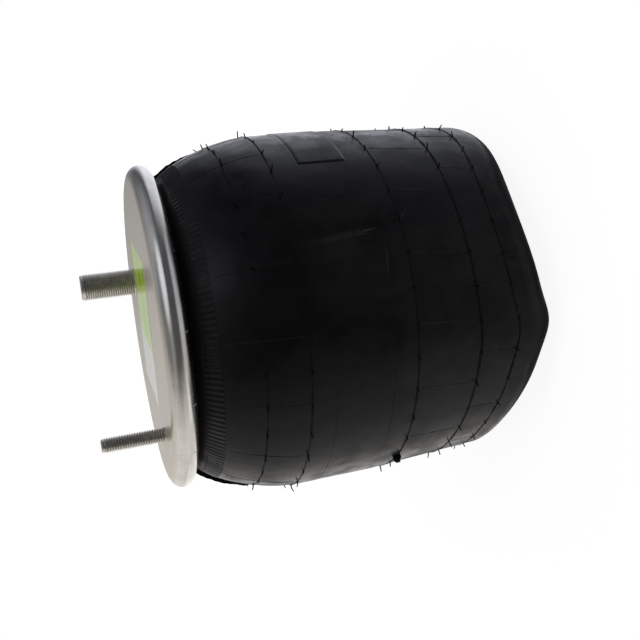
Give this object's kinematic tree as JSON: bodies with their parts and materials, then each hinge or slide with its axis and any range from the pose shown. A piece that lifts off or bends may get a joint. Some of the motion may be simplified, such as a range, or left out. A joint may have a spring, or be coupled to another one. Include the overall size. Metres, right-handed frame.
{
  "type": "air bellows actuator",
  "caption": "Rolling-lobe air bellows with a crimped zinc-plated bead plate, threaded mounting studs, an air inlet through the larger stud and a piston inside the rolled rubber end.",
  "frame": {"origin": "centre of the piston's foot, on the axis", "axes": "+Z along the axis from the foot to the bead plate, the way the studs point; +X to the air inlet stud's side of the plate and +Y to the plain stud's side"},
  "size_m": [0.246, 0.246, 0.291],
  "materials": {
    "zinc_steel": "zinc plated, satin",
    "bellows_rubber": "moulded, semi-matt",
    "bead_wire": "drawn wire",
    "black_steel": "black dip paint",
    "seal_rubber": "moulded, matt"
  },
  "bodies": {
    "upper_mount": {"bead_plate": "zinc_steel", "air_inlet_stud": "zinc_steel", "mounting_stud": "zinc_steel", "upper_bead_wire": "bead_wire", "bellows_sleeve": "bellows_rubber"},
    "rolling_lobe": {"bellows_lobe": "bellows_rubber"},
    "piston": {"bellows_piston_wall": "bellows_rubber", "lower_bead_wire": "bead_wire", "end_closure": "black_steel", "closure_seal": "seal_rubber", "piston_bolt": "zinc_steel", "bump_stop": "seal_rubber", "piston_shell": "black_steel", "piston_base": "black_steel", "base_weld_nuts": "zinc_steel", "piston_washer": "zinc_steel", "piston_nut": "zinc_steel"}
  },
  "joints": [
    {"name": "lift_slide", "type": "slide", "parent": "piston", "child": "upper_mount", "axis": [0, 0, 1], "range_m": [0, 0.18], "deforming": ["bellows_piston_wall"]},
    {"name": "lobe_roll", "type": "slide", "parent": "upper_mount", "child": "rolling_lobe", "axis": [0, 0, -1], "range_m": [0, 0.09]}
  ],
  "couplings": [
    {"joint": "lobe_roll", "follows": "lift_slide", "ratio": 0.5}
  ]
}
